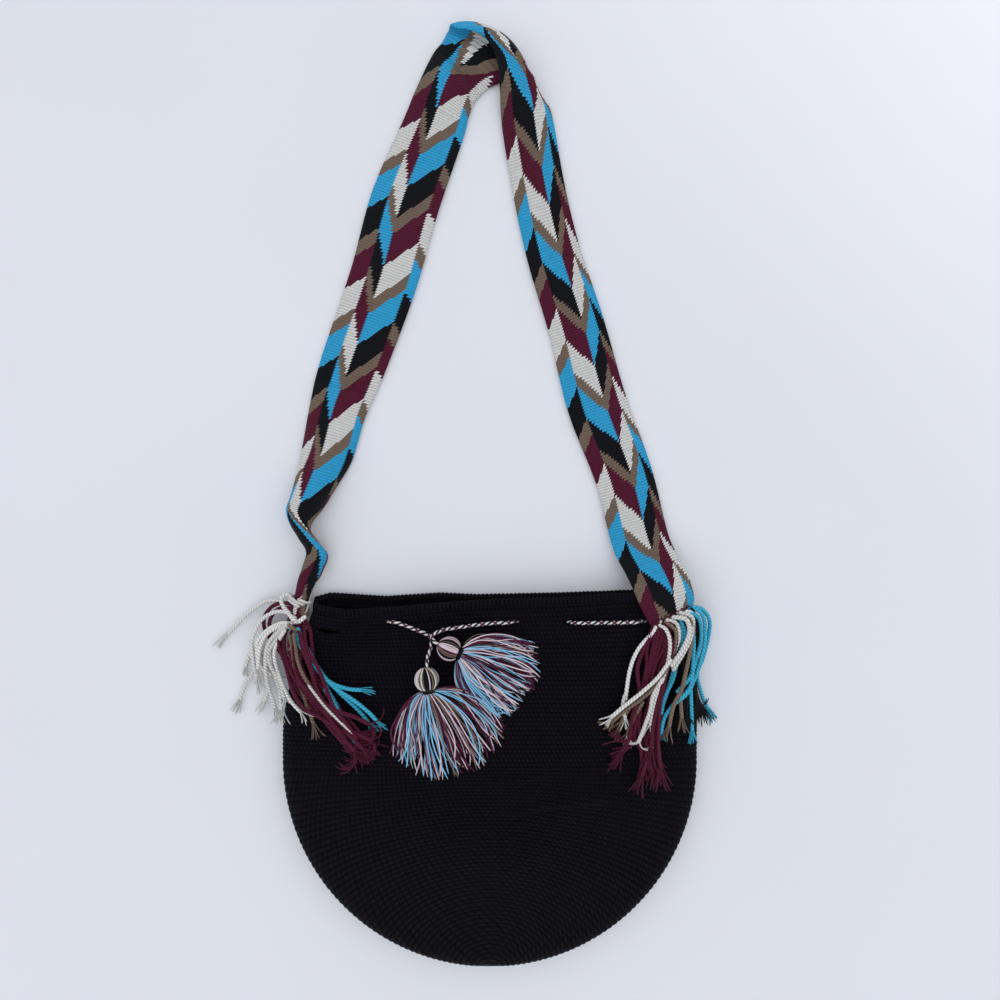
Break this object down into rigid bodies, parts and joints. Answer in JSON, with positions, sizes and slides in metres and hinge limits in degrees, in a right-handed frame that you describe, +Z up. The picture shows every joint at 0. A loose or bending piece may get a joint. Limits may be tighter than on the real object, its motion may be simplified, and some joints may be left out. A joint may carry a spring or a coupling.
{
  "type": "crocheted shoulder bag",
  "caption": "Round-bottomed crocheted shoulder bag with a woven chevron strap, fringed strap ends and a tasselled drawstring, lying flat on its back",
  "frame": {"origin": "on the bag's flat underside, in the middle of its width, 155 mm up from its lowest edge", "axes": "+Z up from the surface that the bag lies on; +Y from the round bottom through the mouth to the top of the strap; +X to the right as it is seen from above"},
  "size_m": [0.4579, 0.8125, 0.0503],
  "materials": {
    "bag_yarn": "Charcoal black crochet cotton with a slight navy tint, matt",
    "strap_weave": "Woven chevrons in turquoise, black, taupe, maroon and off-white, matt",
    "drawstring_braid": "Braided cord in off-white, black and maroon, matt",
    "tassel_yarn": "Mixed fine yarns in pale pink, light blue, plum, black and taupe, matt",
    "white_cord": "Off-white plied cotton cord, matt",
    "maroon_cord": "Maroon plied cotton cord, matt",
    "blue_cord": "Turquoise blue plied cotton cord, matt",
    "taupe_cord": "Taupe plied cotton cord, matt",
    "black_cord": "Black plied cotton cord, matt"
  },
  "bodies": {
    "root": {"bag_body": "bag_yarn", "strap": "strap_weave", "drawstring": "drawstring_braid", "tassel_lower": "tassel_yarn", "tassel_upper": "tassel_yarn", "tassel_lower_tie": "black_cord", "tassel_upper_tie": "black_cord", "strap_binding_left": "white_cord", "strap_stitching_right": "black_cord", "fringe_left_white": "white_cord", "fringe_left_maroon": "maroon_cord", "fringe_left_blue": "blue_cord", "fringe_left_taupe": "taupe_cord", "fringe_left_stray": "white_cord", "fringe_right_white": "white_cord", "fringe_right_maroon": "maroon_cord", "fringe_right_blue": "blue_cord", "fringe_right_taupe": "taupe_cord", "fringe_right_black": "black_cord", "fringe_right_stray": "blue_cord"}
  },
  "joints": []
}
